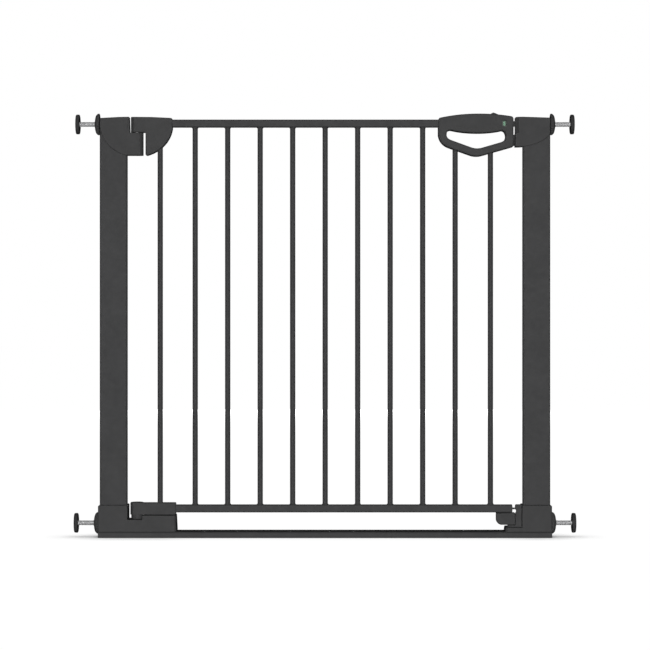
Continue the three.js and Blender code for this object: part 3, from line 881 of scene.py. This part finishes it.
def hand_opening(handle):
    pen = Pen(handle.left, handle.top, (23, -28.9))
    pen.curve((45.5, -34.6), (83.5, -35.4), (108.7, -29.4), steps=24)
    pen.curve((114.9, -29.3), (115.9, -38.9))
    pen.curve((115.9, -46.4), (107.5, -49.2))
    pen.line(75.5, -58.5)
    pen.curve((65.9, -61.3), (56.5, -57.9))
    pen.line(23, -45.7)
    pen.curve((14.5, -42.6), (14.5, -36.9))
    pen.curve((14.5, -29.3), (20, -28.7))
    return pen.outline()


def window_outline(window, margin):
    return rectangle(window.left - margin, window.right + margin, window.bottom - margin,
                     window.top + margin, 1.8, 6)


def build_handle():
    handle = Span("handle_front")
    window = Span("indicator_window")
    slider = Span("release_slider")
    bolt = Span("lock_bolt")
    half_depth = -handle.front

    def tools(piece, side):
        cutters = [
            slab("tool", rail_section(TOP_RAIL, GAP), "x", handle.left - 20, TOP_RAIL.right + GAP),
            rod_tool("z", BAR_RADIUS + GAP, 600, BARS[9].top + GAP, BARS[9].x, 0),
            rod_tool("z", BAR_RADIUS + GAP, 600, BARS[10].top + GAP, BARS[10].x, 0),
            block_tool((bolt.left - RELEASE_TRAVEL - 2, handle.right + 20),
                       (bolt.front - GAP, bolt.back + GAP), (bolt.bottom - GAP, bolt.top + GAP)),
            block_tool((slider.left - RELEASE_TRAVEL - GAP, slider.right + GAP),
                       (slider.front - GAP, slider.back + GAP), (bolt.top + 4, handle.top + 20), 0.8),
            block_tool((slider.left + 4 - RELEASE_TRAVEL - GAP, slider.left + 12 + GAP), (-3 - GAP, 3 + GAP),
                       (bolt.top - 1, bolt.top + 10)),
        ]
        if side < 0:
            flag = Span("indicator_flag")
            cutters += [
                block_tool((flag.left - RELEASE_TRAVEL - GAP, flag.right + GAP), (flag.front - GAP, 5),
                           (flag.bottom - GAP, flag.top + GAP)),
                slab("tool", window_outline(window, GAP), "y", handle.front - 20, flag.front),
            ]
        else:
            cutters += screw_tools("handle")
        carve(piece, *cutters)
        soften(piece, 0.22, 2, 50)

    shell_pair("handle", "leaf", handle_outline(handle), half_depth, 2.8, tools, [hand_opening(handle)])


def build_window():
    window = Span("indicator_window")
    piece = slab("indicator_window_pane", window_outline(window, 0.1), "y", window.front, window.back,
                 low_round=0.5)
    place(piece, "leaf", "clear_window", CLEAR, "indicator_window")


def build_release():
    slider = Span("release_slider")
    bolt = Span("lock_bolt")
    flag = Span("indicator_flag")
    floor = bolt.top + 6.5
    outline = rounded([
        (slider.left, floor, 0.5),
        (slider.right, floor, 0.5),
        (slider.right, slider.top - 3.2, 0.8),
        (slider.left + 9.1, slider.top + 0.45, 3.7),
        (slider.left + 4.8, slider.top - 2.4, 1.0),
        (slider.left, slider.top - 2.6, 0.8),
    ], 6)
    nub = slab("release_slider_moulding", outline, "y", slider.front, slider.back,
               low_round=0.6, high_round=0.6)
    for groove in range(4):
        x = slider.left + 6.9 + 2.1 * groove
        rise = slider.top + 0.9 - 0.45 * abs(groove - 1) ** 1.2
        carve(nub, slab("tool", circle(x, rise, 1.2, 24), "y", slider.front + 1.5, slider.back - 1.5))
    stem = block_tool((slider.left + 4, slider.left + 12), (-3, 3), (bolt.top, floor + 1))
    carve(nub, stem, operation="UNION")
    place(nub, "release", "moulded_plastic", PLASTIC, "release_slider")

    section = rectangle(bolt.front, bolt.back, bolt.bottom, bolt.top, 1.0, 4)
    piece = slab("lock_bolt_bar", section, "x", bolt.left, bolt.right, low_round=0.6, high_round=0.6)
    place(piece, "release", "moulded_plastic", PLASTIC, "lock_bolt")

    build_flag(flag, Span("indicator_window"))


def build_flag(flag, window):
    """A plate in two halves, each with a raised bar in the flag's colour that the window shows; the plate is
    a darker copy of that colour, painted shade around the bar.
    """
    middle = flag.left + 9.6
    for name, left, right, bar_x, painted_shade, light in (
        ("green", flag.left, middle, window.x, PAINTED_SHADE_GREEN, GREEN),
        ("red", middle, flag.right, window.x + RELEASE_TRAVEL, PAINTED_SHADE_RED, RED),
    ):
        section = rectangle(left, right, flag.bottom, flag.top, 0.3, 3)
        plate = slab(f"flag_{name}_plate", section, "y", flag.front + 0.6, flag.back, low_round=0.2,
                     high_round=0.2)
        # The plate gets the darker copy of the flag colour: painted shade around the bar
        place(plate, "release", "flag", painted_shade, "indicator_flag")
        section = rectangle(bar_x - 1.6, bar_x + 1.6, window.z - 3.5, window.z + 3.5, 1.2, 6)
        bar = slab(f"flag_{name}_bar", section, "y", flag.front, flag.front + 0.9, low_round=0.25)
        place(bar, "release", "flag", light, "indicator_flag")


# ---------------------------------------------------------------- screws and pins

def build_screws():
    """Pan-head screws with a cross recess, seen from the back of the gate."""
    for node in NODES:
        if "_screw_" not in node:
            continue
        screw = Span(node)
        head = (screw.right - screw.left) / 2
        top = screw.back
        profile = [(0, screw.front), (1.1, screw.front + 1.2), (1.5, screw.front + 2), (1.5, top - 1.8),
                   (head - 0.1, top - 1.8), (head, top - 1.4), (head - 0.15, top - 0.8),
                   (head - 0.8, top - 0.3), (head - 1.7, top - 0.05), (0, top)]
        piece = turned(f"{node}_steel", profile, 32, "y", (screw.x, screw.z))
        for half_width, half_height in ((1.9, 0.33), (0.33, 1.9)):
            slot = block_tool((screw.x - half_width, screw.x + half_width), (top - 1.1, top + 2),
                              (screw.z - half_height, screw.z + half_height))
            carve(piece, slot)
        body = "leaf" if node.startswith(("handle", "hinge_arm")) else "frame"
        place(piece, body, "zinc_steel", ZINC, node)


def build_hinge_pins():
    for node in ("upper_hinge_pin", "lower_hinge_pin"):
        pin = Span(node)
        profile = [(0, pin.bottom), (PIN_RADIUS - 0.9, pin.bottom), (PIN_RADIUS, pin.bottom + 0.9),
                   (PIN_RADIUS, pin.top - 1.2), (PIN_RADIUS - 0.35, pin.top - 0.5),
                   (PIN_RADIUS - 1.2, pin.top), (0, pin.top)]
        piece = turned(f"{node}_steel", profile, 48, "z", (pin.x, pin.y))
        place(piece, "hinge_pins", "zinc_steel", ZINC, node)


# ---------------------------------------------------------------- pressure spindles

THREAD_PITCH = 2.0
THREAD_DEPTH = 0.5


def thread(name, radius, low, high, z, side):
    """A threaded rod along X: rings that follow the helix, with a flat crest and root."""
    columns = 36
    form = ((0.0, radius - THREAD_DEPTH), (0.2, radius - THREAD_DEPTH), (0.5, radius), (0.68, radius))
    bm = bmesh.new()
    rows = []
    turns = int((high - low) / THREAD_PITCH) + 2
    for turn in range(-1, turns):
        for share, reach in form:
            row = []
            for column in range(columns + 1):
                angle = 2 * math.pi * column / columns
                along = low + (turn + share + column / columns) * THREAD_PITCH
                clamped = min(max(along, low), high)
                r = reach if clamped == along else radius - THREAD_DEPTH
                row.append(bm.verts.new((side * clamped * MM, r * math.cos(angle) * MM,
                                         (z + r * math.sin(angle)) * MM)))
            rows.append(row)
    for before, after in zip(rows, rows[1:]):
        for column in range(columns):
            bm.faces.new((before[column], before[column + 1], after[column + 1], after[column]))
    bmesh.ops.remove_doubles(bm, verts=bm.verts, dist=1e-6)
    bmesh.ops.dissolve_degenerate(bm, edges=bm.edges, dist=1e-7)
    open_edges = [edge for edge in bm.edges if edge.is_boundary]
    bmesh.ops.holes_fill(bm, edges=open_edges)
    return make_object(name, bm)


def build_spindle(corner, side, z):
    spindle = Span(f"{corner}_spindle")
    ends = sorted((abs(spindle.left), abs(spindle.right)))
    flange = ends[1] - 1.6
    rod = thread("rod", 4.2, ends[0], flange, z, side)
    profile = [(0, flange - 0.2), (4.6, flange - 0.2), (5.2, flange), (11.3, flange), (11.8, flange + 0.5),
               (11.8, ends[1] - 0.4), (11.4, ends[1]), (0, ends[1])]
    disc = turned("disc", [(radius, side * w) for radius, w in profile], 56, "x", (0, z))
    piece = join(f"{corner}_spindle_rod", [rod, disc])
    place(piece, f"{corner}_spindle", "zinc_steel", ZINC, f"{corner}_spindle")


def build_wheel(corner, side, z):
    wheel = Span(f"{corner}_wheel")
    face, top = sorted((abs(wheel.left), abs(wheel.right)))
    radius = (wheel.top - wheel.bottom) / 2
    ribs = 30
    profile = [(4.5, face), (14, face), (radius - 1.2, face), (radius - 0.3, face + 0.4),
               (radius, face + 1.1), (radius, face + 2.4), (radius - 0.4, face + 3.4),
               (radius - 1.2, face + 4.4), (radius - 2.3, face + 5.5), (radius - 3.6, face + 6.3),
               (radius - 5.8, face + 7.1), (radius - 8.4, face + 7.7), (5.9, face + 8.1),
               (5.6, top - 0.3), (5.2, top), (4.5, top), (4.5, face)]
    ribbed = {3: 0.5, 4: 0.8, 5: 0.8, 6: 0.7, 7: 0.5, 8: 0.25}

    def scallop(index, reach, turn):
        return reach - ribbed.get(index, 0) * 0.9 * (0.5 - 0.5 * math.cos(ribs * turn)) ** 1.6

    piece = turned(f"{corner}_wheel_moulding", [(r, side * w) for r, w in profile], ribs * 8, "x",
                   (0, z), scallop)
    place(piece, f"{corner}_wheel", "moulded_plastic", PLASTIC, f"{corner}_wheel", sharp=45)


def build_pad(corner, side, z):
    pad = Span(f"{corner}_pad")
    inner, outer = sorted((abs(pad.left), abs(pad.right)))
    radius = (pad.top - pad.bottom) / 2
    profile = [(0, inner + 3.2), (12.2, inner + 3.2), (12.2, inner + 1.0), (6.5, inner + 1.0),
               (6.5, inner + 0.3), (6.8, inner), (radius - 1.4, inner), (radius - 0.4, inner + 0.4),
               (radius, inner + 1.4), (radius, outer - 2.2), (radius - 0.5, outer - 1.8),
               (radius - 0.1, outer - 1.2), (radius - 0.5, outer - 0.4), (radius - 1.2, outer)]
    for ring in (13.4, 10.2, 7.0):
        profile += [(ring, outer), (ring - 0.3, outer - 0.6), (ring - 0.9, outer - 0.6),
                    (ring - 1.2, outer)]
    profile += [(0, outer)]
    piece = turned(f"{corner}_pad_rubber", [(r, side * w) for r, w in profile], 72, "x", (0, z))
    place(piece, f"{corner}_spindle", "rubber", RUBBER, f"{corner}_pad", sharp=45)


def build_pressure_corners():
    for corner in CORNERS:
        side = -1 if corner.endswith("left") else 1
        z = SPINDLE_Z[corner.split("_")[0]]
        build_spindle(corner, side, z)
        build_wheel(corner, side, z)
        build_pad(corner, side, z)


# ---------------------------------------------------------------- studio

VIEW_DISTANCE = 4.0
VIEW_HEIGHT = 0.3646
VIEW_WIDTH = 1.1193   # width of the picture at the gate, in metres


def build_camera():
    data = bpy.data.cameras.new("camera")
    data.sensor_width = 36
    data.lens = data.sensor_width * VIEW_DISTANCE / VIEW_WIDTH
    camera = bpy.data.objects.new("camera", data)
    camera.location = (0, -VIEW_DISTANCE, VIEW_HEIGHT)
    camera.rotation_euler = (math.pi / 2, 0, 0)
    SCENE.collection.objects.link(camera)
    SCENE.camera = camera


def add_light(name, location, target, size, power, glossy=True):
    data = bpy.data.lights.new(name, "AREA")
    data.shape = "RECTANGLE"
    data.size, data.size_y = size
    data.energy = power
    light = bpy.data.objects.new(name, data)
    light.location = location
    light.rotation_euler = (Vector(target) - Vector(location)).to_track_quat("-Z", "Y").to_euler()
    light.visible_camera = False
    light.visible_glossy = glossy
    SCENE.collection.objects.link(light)


def build_floor():
    """A white sheet that glows, with painted shadow: the glow is dimmed by ambient occlusion where the gate
    stands close over it.
    """
    paper = bpy.data.materials.new("floor_paper")
    paper.use_nodes = True
    tree = paper.node_tree
    shader = tree.nodes["Principled BSDF"]
    shader.inputs["Base Color"].default_value = (0.05, 0.05, 0.05, 1)
    shader.inputs["Roughness"].default_value = 1.0
    shader.inputs["Specular IOR Level"].default_value = 0.0
    shader.inputs["Emission Color"].default_value = (1, 1, 1, 1)
    # Painted contact shadow: ambient occlusion dims the floor's glow under and beside the gate
    painted_contact_shadow = tree.nodes.new("ShaderNodeAmbientOcclusion")
    painted_contact_shadow.inputs["Distance"].default_value = 0.06
    painted_contact_shadow.samples = 8
    tree.links.new(painted_contact_shadow.outputs["AO"], shader.inputs["Emission Strength"])
    bm = bmesh.new()
    bm.faces.new([bm.verts.new(p) for p in ((-30, -30, 0), (30, -30, 0), (30, 30, 0), (-30, 30, 0))])
    floor = make_object("floor", bm)
    floor.data.materials.append(paper)
    floor.visible_diffuse = False
    floor.visible_glossy = False


def build_studio():
    middle = (0, 0, 0.36)
    add_light("key", (0, -6.0, 0.55), middle, (1.6, 1.2), 236)
    add_light("back", (0, 6.0, 0.5), middle, (1.6, 1.2), 300, glossy=False)
    add_light("side_left", (-5.0, 0, 0.8), middle, (1.6, 1.6), 30, glossy=False)
    add_light("side_right", (5.0, 0, 0.8), middle, (1.6, 1.6), 30, glossy=False)
    add_light("top", (0, 0, 4.5), middle, (2.0, 2.0), 14, glossy=False)

    world = bpy.data.worlds.new("world")
    SCENE.world = world
    world.use_nodes = True
    background = world.node_tree.nodes["Background"]
    background.inputs["Color"].default_value = (1, 1, 1, 1)
    background.inputs["Strength"].default_value = 1.0
    world.cycles_visibility.diffuse = False
    world.cycles_visibility.glossy = False
    world.cycles_visibility.transmission = False
    SCENE.view_settings.view_transform = "Standard"


build_camera()
build_floor_bar()
build_posts()
build_hinge_foot()
build_latch_foot()
build_hinge_housing()
build_hinge_arm()
build_latch_housing()
build_rails()
build_bars()
build_lower_hinge_block()
build_latch_shoe()
build_rail_end_plug()
build_latch_buffer()
build_handle()
build_window()
build_release()
build_screws()
build_hinge_pins()
build_pressure_corners()
build_floor()
build_studio()
